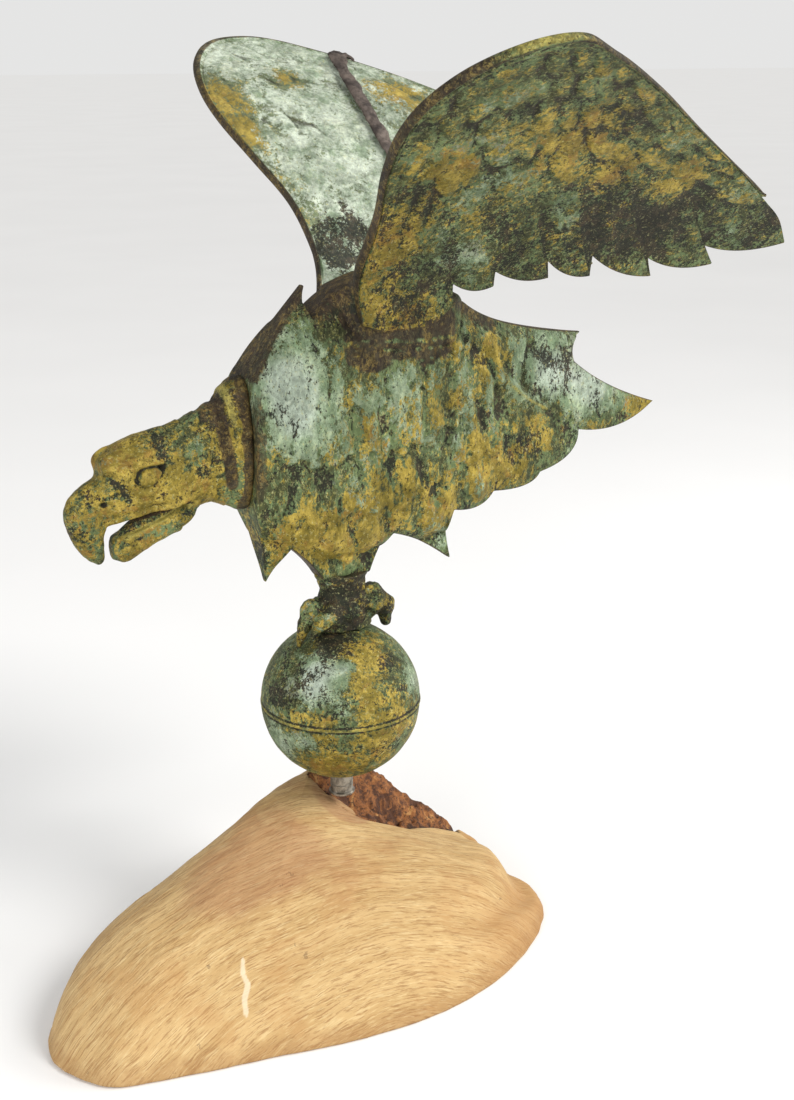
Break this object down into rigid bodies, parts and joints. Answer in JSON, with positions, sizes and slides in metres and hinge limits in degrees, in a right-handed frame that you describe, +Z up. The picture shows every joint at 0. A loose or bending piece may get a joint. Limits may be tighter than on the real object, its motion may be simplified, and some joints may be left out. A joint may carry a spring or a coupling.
{
  "type": "eagle weathervane on a ball and driftwood base",
  "caption": "Full-bodied copper eagle weathervane with raised wings, perched on a two-part ball over a ferrule set in a rough wooden knot base.",
  "frame": {"origin": "on the flat underside of the wooden base, straight below the centre of the ball", "axes": "+Z up; the eagle looks along -X, its tail points along +X and its left wing is on -Y"},
  "size_m": [0.518, 0.3705, 0.5668],
  "materials": {
    "verdigris_copper": "weathered copper with pale green, blue-green and olive patina, worn gold leaf and dark brown recesses",
    "gilt_casting": "cast head with worn gold leaf over green and brown patina",
    "grey_metal": "dull grey turned metal, soiled",
    "dark_iron": "rough hand-forged iron, dark grey-brown",
    "raw_wood": "dry unfinished root wood with combed grain and a crumbling red-brown break"
  },
  "bodies": {
    "root": {"wood_base": "raw_wood", "ferrule": "grey_metal", "ball_lower": "verdigris_copper", "ball_upper": "verdigris_copper", "legs": "verdigris_copper", "body": "verdigris_copper", "head": "gilt_casting", "left_wing": "verdigris_copper", "right_wing": "verdigris_copper", "wing_brace": "dark_iron"}
  },
  "joints": []
}
